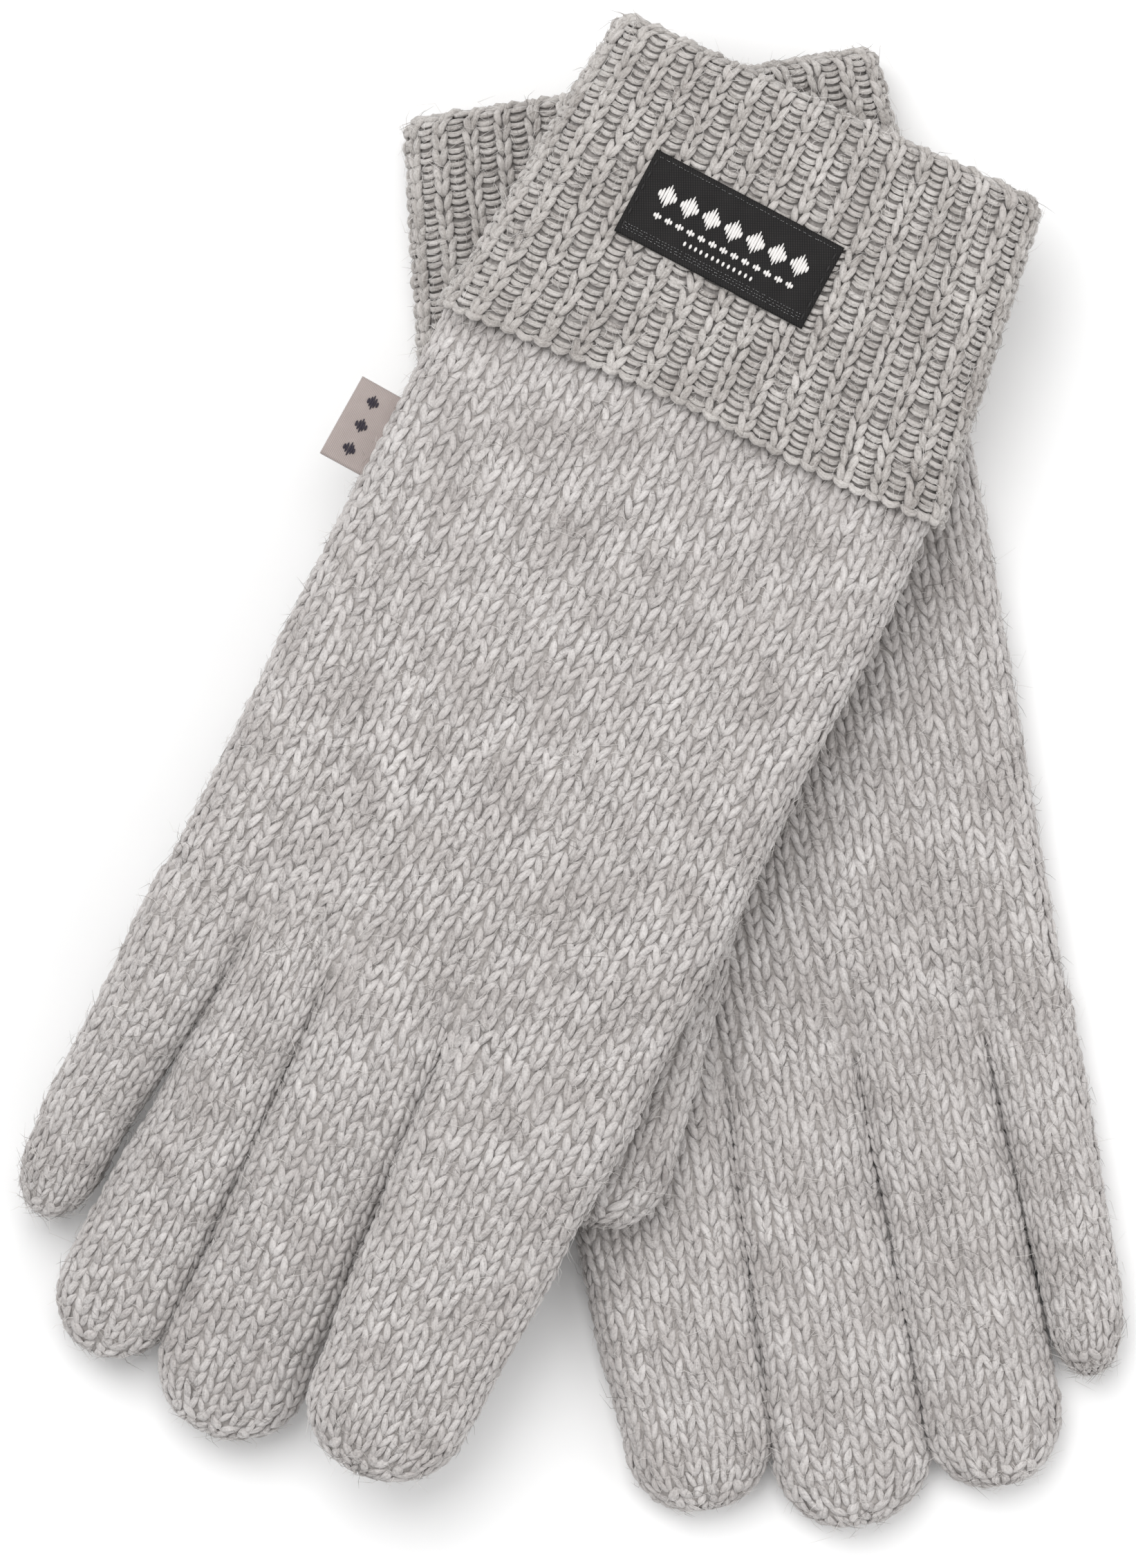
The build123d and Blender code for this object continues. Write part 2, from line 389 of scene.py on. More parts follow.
def normals_of(surface, u, s):
    """Points and outward unit normals of a surface, from its differences in both parameters."""
    here = surface(u, s)
    du, ds = 2e-4, 0.05
    round_it = surface(u + du, s) - surface(u - du, s)
    along_it = surface(u, s + ds) - surface(u, s - ds)
    normal = np.cross(round_it, along_it)
    return here, normal / np.maximum(np.linalg.norm(normal, axis=-1, keepdims=True), 1e-9)


# ---------------------------------------------------------------------------------------------
# Materials


def linear(hex_colour):
    """An sRGB hex colour as linear red, green, blue and alpha."""
    srgb = [int(hex_colour[i : i + 2], 16) / 255 for i in (0, 2, 4)]
    return [c / 12.92 if c <= 0.04045 else ((c + 0.055) / 1.055) ** 2.4 for c in srgb] + [1.0]


def add(tree, kind, settings=None, **inputs):
    """Adds a node of this kind, with its settings, its input values and its links from sockets."""
    made = tree.nodes.new(kind)
    for name, value in (settings or {}).items():
        setattr(made, name, value)
    for name, value in inputs.items():
        socket = made.inputs[int(name[1:]) if name[1:].isdigit() else name.replace("_", " ")]
        if isinstance(value, bpy.types.NodeSocket):
            tree.links.new(value, socket)
        else:
            socket.default_value = value
    return made


def ramp(tree, factor, *stops):
    """A colour ramp from (place, hex colour) stops."""
    made = add(tree, "ShaderNodeValToRGB", Fac=factor)
    points = made.color_ramp.elements
    while len(points) < len(stops):
        points.new(0.5)
    for point, (place, colour) in zip(points, stops):
        point.position, point.color = place, linear(colour)
    return made.outputs["Color"]


def new_material(name, roughness, sheen=0.0):
    """An empty material with its shader, whose constant values are set on its own sockets."""
    material = bpy.data.materials.new(name)
    material.use_nodes = True
    tree = material.node_tree
    shader = tree.nodes["Principled BSDF"]
    shader.inputs["Roughness"].default_value = roughness
    shader.inputs["Sheen Weight"].default_value = sheen
    shader.inputs["Sheen Roughness"].default_value = 0.6
    shader.inputs["Specular IOR Level"].default_value = 0.25
    return material, tree, shader


def carded_wool(name, light, middle, dark, cloud_dark):
    """Carded melange wool yarn: soft, matt, streaked along the yarn by lighter and darker fibres."""
    material, tree, shader = new_material(name, 0.95, 0.3)
    uv = add(tree, "ShaderNodeUVMap", {"uv_map": "yarn"}).outputs[0]
    # the yarn's map is in millimetres along it and shares of a turn around it
    stretched = add(tree, "ShaderNodeMapping", Vector=uv, Scale=(0.3, 3.2, 1.0)).outputs[0]
    streaks = add(tree, "ShaderNodeTexNoise", Vector=stretched, Scale=1.6, Detail=5.0, Roughness=0.62)
    tone = add(tree, "ShaderNodeAttribute", {"attribute_name": "tone"}).outputs["Fac"]
    place = add(tree, "ShaderNodeTexCoord").outputs["Object"]
    # loose fibres about 0.4 mm across that lie over the yarns in every direction
    nap = add(tree, "ShaderNodeTexNoise", Vector=place, Scale=2500.0, Detail=4.0, Roughness=0.75)
    # patches about 9 mm across where the blend of fibres is lighter or darker
    clouds = add(tree, "ShaderNodeTexNoise", Vector=place, Scale=110.0, Detail=3.0, Roughness=0.6)
    multiply_add = {"operation": "MULTIPLY_ADD"}
    toned = add(tree, "ShaderNodeMath", multiply_add, _0=tone, _1=0.10, _2=streaks.outputs[0])
    mixed = add(tree, "ShaderNodeMix", Factor=0.5)
    tree.links.new(toned.outputs[0], mixed.inputs["A"])
    tree.links.new(nap.outputs[0], mixed.inputs["B"])
    base = ramp(tree, mixed.outputs["Result"], (0.37, dark), (0.5, middle), (0.63, light))
    shade = add(tree, "ShaderNodeMapRange", Value=clouds.outputs[0], From_Min=0.35, From_Max=0.65)
    multiply = {"data_type": "RGBA", "blend_type": "MULTIPLY"}
    colour = add(tree, "ShaderNodeMix", multiply, Factor=shade.outputs[0])
    tree.links.new(base, colour.inputs["A"])
    colour.inputs["B"].default_value = linear(cloud_dark)
    tree.links.new(colour.outputs["Result"], shader.inputs["Base Color"])
    bump = add(tree, "ShaderNodeBump", Height=mixed.outputs["Result"], Strength=0.7, Distance=0.3 * MM)
    tree.links.new(bump.outputs[0], shader.inputs["Normal"])
    return material


def napped_cloth(name, light, dark, size_mm, bump_mm):
    """Napped cloth: short fibres in every direction, as a fine mottled noise with a matching bump."""
    material, tree, shader = new_material(name, 0.97, 0.2)
    place = add(tree, "ShaderNodeTexCoord").outputs["Object"]
    scale = 1.0 / (size_mm * MM)
    nap = add(tree, "ShaderNodeTexNoise", Vector=place, Scale=scale, Detail=6.0, Roughness=0.7)
    tree.links.new(ramp(tree, nap.outputs[0], (0.35, dark), (0.68, light)), shader.inputs["Base Color"])
    bump = add(tree, "ShaderNodeBump", Height=nap.outputs[0], Strength=0.6, Distance=bump_mm * MM)
    tree.links.new(bump.outputs[0], shader.inputs["Normal"])
    return material


def loose_fibre():
    """Single wool fibres, most of them pale and a few dark, told apart by their tone."""
    material, tree, shader = new_material("loose_wool_fibre", 0.8, 0.3)
    tone = add(tree, "ShaderNodeAttribute", {"attribute_name": "tone"}).outputs["Fac"]
    grain = add(tree, "ShaderNodeTexNoise", Scale=400.0, Detail=2.0)
    multiply_add = {"operation": "MULTIPLY_ADD"}
    mixed = add(tree, "ShaderNodeMath", multiply_add, _0=grain.outputs[0], _1=0.2, _2=tone)
    colour = ramp(tree, mixed.outputs[0], (0.15, "6E6864"), (0.30, "B9B3AF"), (0.9, "EFEBE8"))
    tree.links.new(colour, shader.inputs["Base Color"])
    return material


def woven(name, light, dark, pitch_mm, slant, roughness, sheen):
    """Fine filament weave: thread ridges at a pitch, slanted across each other by the twill's rise."""
    material, tree, shader = new_material(name, roughness, sheen)
    uv = add(tree, "ShaderNodeUVMap", {"uv_map": "yarn"}).outputs[0]
    turned = add(tree, "ShaderNodeMapping", Vector=uv, Rotation=(0.0, 0.0, slant)).outputs[0]
    # a wave texture's period is 2 pi / 20 divided by its scale, in the map's millimetres
    scale = pi / (10.0 * pitch_mm)
    warp = add(tree, "ShaderNodeTexWave", {"bands_direction": "X"}, Vector=turned, Scale=scale)
    weft = add(tree, "ShaderNodeTexWave", {"bands_direction": "Y"}, Vector=turned, Scale=scale * 1.4)
    multiply, multiply_add = {"operation": "MULTIPLY"}, {"operation": "MULTIPLY_ADD"}
    cross = add(tree, "ShaderNodeMath", multiply, _0=warp.outputs["Fac"], _1=weft.outputs["Fac"])
    wear = add(tree, "ShaderNodeTexNoise", Vector=uv, Scale=0.35, Detail=4.0)
    mixed = add(tree, "ShaderNodeMath", multiply_add, _0=wear.outputs[0], _1=0.35, _2=cross.outputs[0])
    tree.links.new(ramp(tree, mixed.outputs[0], (0.2, dark), (0.95, light)), shader.inputs["Base Color"])
    bump = add(tree, "ShaderNodeBump", Height=cross.outputs[0], Strength=0.7, Distance=0.08 * MM)
    tree.links.new(bump.outputs[0], shader.inputs["Normal"])
    return material


def filament(name, light, dark, roughness, metallic):
    """Fine bundled filaments: streaks along the thread."""
    material, tree, shader = new_material(name, roughness, 0.1)
    uv = add(tree, "ShaderNodeUVMap", {"uv_map": "yarn"}).outputs[0]
    stretched = add(tree, "ShaderNodeMapping", Vector=uv, Scale=(0.4, 7.0, 1.0)).outputs[0]
    streaks = add(tree, "ShaderNodeTexNoise", Vector=stretched, Scale=2.5, Detail=3.0)
    tree.links.new(ramp(tree, streaks.outputs[0], (0.3, dark), (0.7, light)), shader.inputs["Base Color"])
    shader.inputs["Metallic"].default_value = metallic
    bump = add(tree, "ShaderNodeBump", Height=streaks.outputs[0], Strength=0.4, Distance=0.05 * MM)
    tree.links.new(bump.outputs[0], shader.inputs["Normal"])
    return material


# Pale warm grey wool for the hands, and the same wool darkened for the ribs as painted shade
WOOL = carded_wool("carded_melange_wool", "DDD9D7", "C9C5C3", "A29D9B", "E6E4E3")
SHADED_RIB_WOOL = carded_wool("carded_melange_wool_ribbed", "D6D1CE", "C0BCB8", "958F8B", "E3E1E0")
FIBRE = loose_fibre()
# Painted shade: a darker sheet under the stitches, which stands in for the shade in the gaps between them
GAP_SHADE = napped_cloth("felted_ground_of_the_knit", "B8B3B0", "8F8A87", 0.8, 0.2)
# Inside: dark brushed fleece, a pale fluffy web between it and the knit, and a plain woven tape
FLEECE = napped_cloth("brushed_fleece_lining", "8F8C8A", "62605F", 1.2, 0.5)
WEB = napped_cloth("needled_insulation_web", "E2E3E4", "BFC1C4", 0.9, 0.4)
TAPE = woven("woven_binding_tape", "8A8683", "5F5C5A", 0.5, 0.0, 0.8, 0.2)
# Labels: a matt black damask, a warm grey satin with a soft shine, and the threads of their figures
DAMASK = woven("black_damask_label", "302E2D", "0B0A0B", 0.42, 0.5, 0.7, 0.0)
SATIN = woven("warm_grey_satin_ribbon", "BDB1AD", "948884", 0.3, 0.0, 0.42, 0.3)
WHITE_WEFT = filament("white_weft_floats", "F4F2F0", "CFCBC8", 0.6, 0.0)
DARK_WEFT = filament("dark_weft_floats", "3A3440", "211C26", 0.6, 0.0)
METALLIC = filament("flat_metallic_thread", "E8E8EA", "9A9A9E", 0.28, 1.0)
SEWING = filament("black_polyester_thread", "2E2C2C", "121112", 0.5, 0.0)


# ---------------------------------------------------------------------------------------------
# Meshes


def new_piece(glove, name, arrays, material, node=None, body=None):
    """A mesh object in the glove's own frame from whole arrays: vertices, faces, yarn map and tone.

    On a mirrored glove every face is turned over, so that it still points outwards.
    """
    vertices, faces, uv, tone = arrays
    if glove.side < 0:
        faces = faces[:, ::-1]
    mesh = bpy.data.meshes.new(name)
    corners = faces.shape[1]
    mesh.vertices.add(len(vertices))
    mesh.vertices.foreach_set("co", np.ascontiguousarray(glove.world(vertices), np.float32).ravel())
    mesh.loops.add(faces.size)
    mesh.loops.foreach_set("vertex_index", np.ascontiguousarray(faces, np.int32).ravel())
    mesh.polygons.add(len(faces))
    mesh.polygons.foreach_set("loop_start", np.arange(len(faces), dtype=np.int32) * corners)
    mesh.polygons.foreach_set("use_smooth", np.full(len(faces), True))
    mesh.update(calc_edges=True)
    layer = mesh.uv_layers.new(name="yarn")
    layer.data.foreach_set("uv", np.ascontiguousarray(uv[faces.ravel()], np.float32).ravel())
    mesh.attributes.new("tone", "FLOAT", "POINT").data.foreach_set("value", tone.astype(np.float32))
    mesh.validate()
    mesh.materials.append(material)
    piece = bpy.data.objects.new(name, mesh)
    bpy.context.scene.collection.objects.link(piece)
    if body:
        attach(piece, body)
    if node:
        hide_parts(node)
    return piece


def strand(path, radii, sides):
    """A template strand: rings of corners about a path, with pinched ends, and its quads.

    The path is (across, along, height), the radii are (across, height), and each ring is an
    ellipse across the path's heading. The ends close on their own centres.
    """
    rings = len(path)
    turn = 2 * pi * (np.arange(sides) + 0.5) / sides
    heading = np.gradient(path, axis=0)[:, :2]
    heading /= np.linalg.norm(heading, axis=1, keepdims=True)
    sideways = np.stack([heading[:, 1], -heading[:, 0], np.zeros(rings)], axis=1)
    points = (
        path[:, None, :]
        + radii[:, None, 0:1] * np.cos(turn)[None, :, None] * sideways[:, None, :]
        + radii[:, None, 1:2] * np.sin(turn)[None, :, None] * np.array([0, 0, 1.0])
    )
    index = np.arange(rings * sides).reshape(rings, sides)
    after = np.roll(index, -1, axis=1)
    quads = np.stack([index[:-1], after[:-1], after[1:], index[1:]], axis=-1).reshape(-1, 4)
    length = np.concatenate([[0], np.cumsum(np.linalg.norm(np.diff(path, axis=0), axis=1))])
    uv = np.stack(
        [np.repeat(length, sides), np.tile(np.abs(np.arange(sides) / sides * 2 - 1), rings)], axis=1
    )
    ends = np.stack([path[0], path[-1]])
    caps = []
    for end, row in ((0, index[0][::-1]), (1, index[-1])):
        centre = rings * sides + end
        for k in range(0, sides, 2):
            caps.append([row[k], row[(k + 1) % sides], row[(k + 2) % sides], centre])
    uv = np.concatenate([uv, [[0.0, 0.5], [length[-1], 0.5]]])
    return np.concatenate([points.reshape(-1, 3), ends]), np.concatenate([quads, caps]), uv


def leg_template(side, sides, rings, near, far, reach, wide, tall, arch, sunk):
    """One leg of a knitted V, in millimetres across, along and up.

    It leaves the V's point at near from its middle line, ends at far from it, and reaches as far
    towards the fingertip as back towards the cuff. Its height is half a sine wave above its sunk
    ends, and its thickness swells with a root of one.
    """
    t = np.linspace(0, 1, rings)
    across = side * (near + (far - near) * (0.7 * t + 0.3 * t * t))
    height = arch * np.sin(pi * t) ** 0.7 - sunk
    path = np.stack([across, reach - 2 * reach * t, height], axis=1)
    swell = np.maximum(np.sin(pi * np.clip(t, 0.02, 0.98)) ** 0.4, 0.3)
    return strand(path, np.stack([wide * swell, tall * swell], axis=1), sides)


def bar_template(half, sides, rings, thick, height, bow, rise):
    """A short strand across a column: a parabola bowed along it and raised between its sunk ends."""
    t = np.linspace(-1, 1, rings)
    path = np.stack([half * t, bow * (1 - t * t), height + rise * (1 - t * t)], axis=1)
    swell = np.maximum(1 - 0.4 * t * t, 0.3)
    return strand(path, np.stack([thick * swell, thick * swell], axis=1), sides)


def lay(surface, template, u, s, per_mm, size=None, jitter=0.14, tilt=0.07, lift=0.0):
    """Copies of a template strand laid on a surface, one for each (u, s), as whole arrays.

    Each corner's share round and station are its stitch's own plus its offset across, at per_mm
    shares a millimetre, and along. It stands off by its height. Every copy is moved, leant and
    swollen a little at random.
    """
    points, quads, uv = template
    count, corners = len(u), len(points)
    shift = rng.normal(0, jitter, (count, 3))
    lean = rng.normal(0, tilt, count)[:, None]
    plump = (1.0 if size is None else size) * (1 + rng.normal(0, 0.07, count))
    across = points[None, :, 0] + shift[:, 0:1] + lean * points[None, :, 1]
    along = points[None, :, 1] + shift[:, 1:2]
    height = points[None, :, 2] * plump[:, None] + shift[:, 2:3] * 0.7 + lift
    here, normal = normals_of(surface, u[:, None] + across * per_mm[:, None], s[:, None] + along)
    vertices = (here + normal * height[..., None]).reshape(-1, 3)
    faces = (quads[None] + (np.arange(count) * corners)[:, None, None]).reshape(-1, quads.shape[1])
    start = rng.uniform(0, 400, (count, 2))
    coords = (uv[None] + start[:, None, :]).reshape(-1, 2)
    tone = np.repeat(rng.normal(0.0, 0.5, count), corners)
    return vertices, faces, coords, tone


def joined(parts):
    """Several laid groups of strands as one set of arrays."""
    starts = np.concatenate([[0], np.cumsum([len(part[0]) for part in parts])])
    faces = [part[1] + start for part, start in zip(parts, starts)]
    vertices, uv, tone = [np.concatenate([part[k] for part in parts]) for k in (0, 2, 3)]
    return vertices, np.concatenate(faces), uv, tone


def hairs(surface, u_range, s_range, count, raised, bare):
    """Loose fibres that leave the yarn, bow and lie down again, as whole arrays of thin tubes.

    A fibre's path is its root, plus its length along its own heading on the surface, plus a bow
    to one side of t(1 - t), and it rises by a root of t. Each tube has three sides and three rings.
    No fibre grows in the bare rectangle of (lowest, highest) h and y.
    """
    u, s = rng.uniform(*u_range, count), rng.uniform(*s_range, count)
    if bare:
        place = surface(u, s)
        (left, right), (near, far) = bare
        inside = (place[:, 0] > left) & (place[:, 0] < right) & (place[:, 1] > near) & (place[:, 1] < far)
        u, s = u[~inside], s[~inside]
        count = len(u)
    here, normal = normals_of(surface, u, s)
    along = surface(u, s + 0.2) - surface(u, s - 0.2)
    along /= np.maximum(np.linalg.norm(along, axis=-1, keepdims=True), 1e-9)
    aside = np.cross(along, normal)
    turn = rng.uniform(0, 2 * pi, (count, 1))
    heading = along * np.cos(turn) + aside * np.sin(turn)
    bend = np.cross(normal, heading)
    length = rng.gamma(4.0, 0.75, (count, 1))
    rise = raised * rng.gamma(2.0, 0.5, (count, 1))
    bow = rng.normal(0, 0.9, (count, 1))
    t = np.array([0.0, 0.5, 1.0])
    path = (
        here[:, None] + length[:, None] * t[:, None] * heading[:, None]
        + (bow[:, None] * (t * (1 - t))[:, None] * length[:, None]) * bend[:, None]
        + (0.25 + rise[:, None] * (t**0.7)[:, None]) * normal[:, None]
    )
    dark = rng.random(count) < 0.3
    radius = np.where(dark, 0.045, 0.05)[:, None] * np.array([1.0, 0.85, 0.25])
    corner = 2 * pi * np.arange(3) / 3
    rim = np.cos(corner)[:, None] * bend[:, None] + np.sin(corner)[:, None] * normal[:, None]
    points = path[:, :, None] + radius[:, :, None, None] * rim[:, None]
    index = np.arange(9).reshape(3, 3)
    after = np.roll(index, -1, axis=1)
    a, b, c, d = index[:-1], after[:-1], after[1:], index[1:]
    one = np.concatenate([np.stack([a, b, c], -1).reshape(-1, 3), np.stack([a, c, d], -1).reshape(-1, 3)])
    one = np.concatenate([one, [[2, 1, 0], [6, 7, 8]]])
    faces = (one[None] + (np.arange(count) * 9)[:, None, None]).reshape(-1, 3)
    tone = np.where(dark, 0.05, rng.uniform(0.35, 0.8, count))
    return points.reshape(-1, 3), faces, np.zeros((count * 9, 2)), np.repeat(tone, 9)


KNIT = dict(near=0.28, far=1.50, reach=1.9, tall=0.46, arch=0.36, sunk=0.28)
BACK_LEGS = [leg_template(side, 6, 5, wide=0.80, **KNIT) for side in (-1, 1)]
PALM_LEGS = [leg_template(side, 4, 4, wide=0.88, **KNIT) for side in (-1, 1)]
RIB_PITCH = 6.0  # width of the rib repeat that its templates are drawn for
RIB = dict(near=0.28, far=1.30, reach=1.8, wide=0.78, tall=0.74, arch=0.50, sunk=0.36)


def stitches(surface, u, s, wale, width_mm):
    """Knitted Vs at the given places: two legs each, finer ones on the back than on the palm."""
    back = np.abs((u + 0.5) % 1.0 - 0.5) < 0.29  # past a quarter, the stitches have turned under
    size = np.clip(width_mm / WALE, 0.45, 1.12)
    return joined([
        lay(surface, leg, u[chosen], s[chosen], wale[chosen] / WALE, size[chosen])
        for legs, chosen in ((BACK_LEGS, back), (PALM_LEGS, ~back)) if chosen.any()
        for leg in legs
    ])


def cloth(points, normal, wall, wrap):
    """A closed thin sheet from a grid of points: an outer face, an inner one at wall below, and rims.

    Where the grid wraps, its last column joins its first. Its map is millimetres along both ways.
    """
    rows, columns = points.shape[:2]
    under = rows * columns
    index = np.arange(under).reshape(rows, columns)
    if wrap:
        index = np.concatenate([index, index[:, :1]], axis=1)

    def quads(*corners):
        return np.stack(corners, axis=-1).reshape(-1, 4)

    def rim(edge):
        return quads(edge[:-1], edge[1:], edge[1:] + under, edge[:-1] + under)

    outer = quads(index[:-1, :-1], index[:-1, 1:], index[1:, 1:], index[1:, :-1])
    faces = [outer, outer[:, ::-1] + under, rim(index[0, ::-1]), rim(index[-1])]
    if not wrap:
        faces += [rim(index[:, 0]), rim(index[::-1, -1])]
    vertices = np.concatenate([points.reshape(-1, 3), (points - normal * wall).reshape(-1, 3)])
    across = np.linalg.norm(np.diff(points, axis=1), axis=-1).mean() * np.arange(columns)
    along = np.linalg.norm(np.diff(points, axis=0), axis=-1).mean() * np.arange(rows)
    uv = np.tile(np.stack(np.meshgrid(across, along), axis=-1).reshape(-1, 2), (2, 1))
    return vertices, np.concatenate(faces), uv, np.zeros(len(vertices))


def shell(glove, surface, name, depth, wall, stations, around, material, node=None, body=None):
    """A closed tube of cloth at a depth under a surface.
    """
    u, s = np.meshgrid(np.arange(around) / around, stations)
    here, normal = normals_of(surface, u, s)
    points = here - normal * depth
    piece = new_piece(glove, name, cloth(points, normal, wall, True), material, node, body)
    return piece


def camera_and_light():
    """A long lens straight above, a broad soft light over the gloves and a pale even room.

    The lens is the sensor's height times the distance over the height that it takes in.
    """
    aim, distance, view_height = (-0.0021, -0.0027), 3.0, 0.2790
    backs = 0.025  # height of the gloves' backs, the plane that the view's height is measured in
    camera = bpy.data.cameras.new("camera")
    camera.sensor_fit, camera.sensor_height = "VERTICAL", 24.0
    camera.lens = camera.sensor_height * (distance - backs) / view_height
    camera.clip_end = 20.0
    camera.dof.use_dof = False
    eye = bpy.data.objects.new("camera", camera)
    eye.location = (*aim, distance)
    bpy.context.scene.collection.objects.link(eye)
    bpy.context.scene.camera = eye
    for name, place, size, power in (
        ("overhead_softbox", (-0.25, 0.45, 1.1), 0.9, 10.0),
        ("side_softbox", (0.9, -0.2, 0.8), 0.8, 3.2),
    ):
        light = bpy.data.lights.new(name, "AREA")
        light.size, light.energy = size, power
        lamp = bpy.data.objects.new(name, light)
        lamp.location = place
        lamp.rotation_euler = (-Vector(place)).to_track_quat("-Z", "Y").to_euler()
        bpy.context.scene.collection.objects.link(lamp)
    world = bpy.data.worlds.new("room")
    world.use_nodes = True
    world.node_tree.nodes["Background"].inputs[0].default_value = (1, 1, 1, 1)
    world.node_tree.nodes["Background"].inputs[1].default_value = 0.62
    bpy.context.scene.world = world
    bpy.context.scene.view_settings.view_transform = "Standard"


def floor():
    """The plain pale surface that the gloves lie on."""
    material, tree, shader = new_material("matt_white_board", 0.9)
    place = add(tree, "ShaderNodeTexCoord").outputs["Object"]
    grain = add(tree, "ShaderNodeTexNoise", Vector=place, Scale=30.0, Detail=3.0)
    colour = ramp(tree, grain.outputs[0], (0.3, "FAFAFA"), (0.7, "FDFDFD"))
    tree.links.new(colour, shader.inputs["Base Color"])
    half = 2.0
    vertices = np.array([(-half, -half, 0), (half, -half, 0), (half, half, 0), (-half, half, 0)], float)
    mesh = bpy.data.meshes.new("floor")
    mesh.from_pydata(vertices.tolist(), [], [(0, 1, 2, 3)])
    mesh.materials.append(material)
    piece = bpy.data.objects.new("floor", mesh)
    bpy.context.scene.collection.objects.link(piece)


# ---------------------------------------------------------------------------------------------
# Hands, fingers and cuffs

# The layers inside a glove: name, depth under the knit's surface, material, slot and CAD node
LININGS = (
    ("web", 1.4, WEB, "insulation_web", "insulation"),
    ("fleece", 2.2, FLEECE, "lining_fleece", "lining"),
)


def ring_length(half_width, half_thick):
    """The length round a flattened ring."""
    return 4 * (half_width - half_thick) + 2 * pi * half_thick


def hand_wales(glove):
    """The wales of the hand's back, and how many there are.

    Each is its finger, its share round at the cuff and at the fingers, and its extra courses. They
    run straight up the hand and towards a finger they spread evenly over its base. On the palm they
    lie in the same places, mirrored. Beside a crotch a wale runs two courses further.
    """
    rows = FINGERS[glove.name]
    count = sum(row[4] for row in rows.values())
    out = []
    for finger, (base, _, _, _, shared, _) in rows.items():
        low, high = hand_edges(glove, base_station(glove, finger))
        length, middle = ring_length((high - low) / 2, HAND_HALF), (high + low) / 2
        first = 0.25 if finger == "index" else (base[1] - middle) / length
        last = -0.25 if finger == "little" else (base[0] - middle) / length
        for k in range(shared):
            even = 0.25 - (len(out) + 0.5) / count * 0.5
            more = 2 if k in (0, shared - 1) else 0
            out.append((finger, even, first + (last - first) * (k + 0.5) / shared, more))
    return out, count


def fuzz(glove, surface, name, u_range, s_range, count, body=None, raised=0.55, bare=None):
    """A piece of loose fibres over a stretch of a surface, that rise by about this many millimetres."""
    arrays = hairs(surface, u_range, s_range, count, raised, bare)
    return new_piece(glove, name, arrays, FIBRE, None, body)


def place_hand(glove):
    """The hand's stitches, its loose fibres, its darker sheet of painted shade under them, its insulation and its
    lining.
    """
    surface, name = hand_surface(glove), f"{glove.name}_hand"
    wales, count = hand_wales(glove)
    low, high = hand_edges(glove, 110.0)  # halfway up the hand, where its wales' width is taken
    pitch = ring_length((high - low) / 2, HAND_HALF) / (2 * count)
    for face in ("back", "palm"):
        us, ss = [], []
        for finger, even, end, more in wales:
            s = HAND_START + (np.arange(FINGERS[glove.name][finger][3] + more) + 0.5) * COURSE
            u = even + (end - even) * step((s - (base_station(glove, finger) - 40.0)) / 40.0)
            us.append(u if face == "back" else 0.5 - u)
            ss.append(s)
        u, s = np.concatenate(us), np.concatenate(ss)
        arrays = stitches(surface, u, s, np.full(len(u), 0.5 / count), np.full(len(u), pitch))
        node = f"{name}_knit" if face == "back" else None
        new_piece(glove, f"{name}_{face}_stitches", arrays, WOOL, node, name)
    end = base_station(glove, "index")
    stretch = (HAND_START, end)
    fuzz(glove, surface, f"{name}_back_fibres", (-0.26, 0.26), stretch, 4000, name)
    fuzz(glove, surface, f"{name}_palm_fibres", (0.26, 0.74), stretch, 400, name, raised=0.15)
    stations = np.linspace(HAND_START - 1.5, end + 1.0, 40)
    # a darker sheet under the stitches: painted shade in the gaps between them
    shell(glove, surface, f"{name}_ground", 0.2, 0.6, stations, 88, GAP_SHADE, None, name)
    for layer, depth, material, slot, node in LININGS:
        shell(glove, surface, f"{name}_{layer}", depth, 0.6, stations[2::2], 56, material,
              f"{name}_{node}", name)


def tube_wales(surface, first, last, around, sparse_from):
    """A tube's stitches: their places, and the share round and the width of each one's wale.

    Every wale has them, and every second one where the tip draws in.
    """
    us, ss, ws = [], [], []
    for row in range(int((last - first) / COURSE)):
        s = first + (row + 0.5) * COURSE
        count = around if s < sparse_from else around // 2
        us.append((np.arange(count) + 0.5) / count)
        ss.append(np.full(count, s))
        ws.append(np.full(count, 1.0 / count))
    u, s, w = [np.concatenate(group) for group in (us, ss, ws)]
    width = np.linalg.norm(surface(u + w * 0.25, s) - surface(u - w * 0.25, s), axis=-1) * 2
    return u, s, w, width


def place_tube(glove, part, surface, first, last, around, sparse_from, blend):
    """One finger or the thumb: stitches, loose fibres, a darker sheet of painted shade under them, insulation and
    lining.
    """
    name = f"{glove.name}_{part}"
    arrays = stitches(surface, *tube_wales(surface, first, last, around, sparse_from))
    stations = np.linspace(first - TUBE_INSIDE, last, 36)
    pieces = [
        new_piece(glove, f"{name}_stitches", arrays, WOOL, f"{name}_knit"),
        fuzz(glove, surface, f"{name}_fibres", (-0.24, 0.24), (first, last - 3.0), 650),
        # a darker sheet under the stitches: painted shade in the gaps between them
        shell(glove, surface, f"{name}_ground", 0.15, 0.45, stations, 40, GAP_SHADE),
    ]
    for layer, depth, material, slot, node in LININGS:
        pieces.append(shell(glove, surface, f"{name}_{layer}", depth - 0.1, 0.5, stations[3:-2], 28, material,
                            f"{name}_{node}"))
    start, end = [tuple(point) for point in glove.world(np.array(blend))]
    for piece in pieces:
        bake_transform(piece)


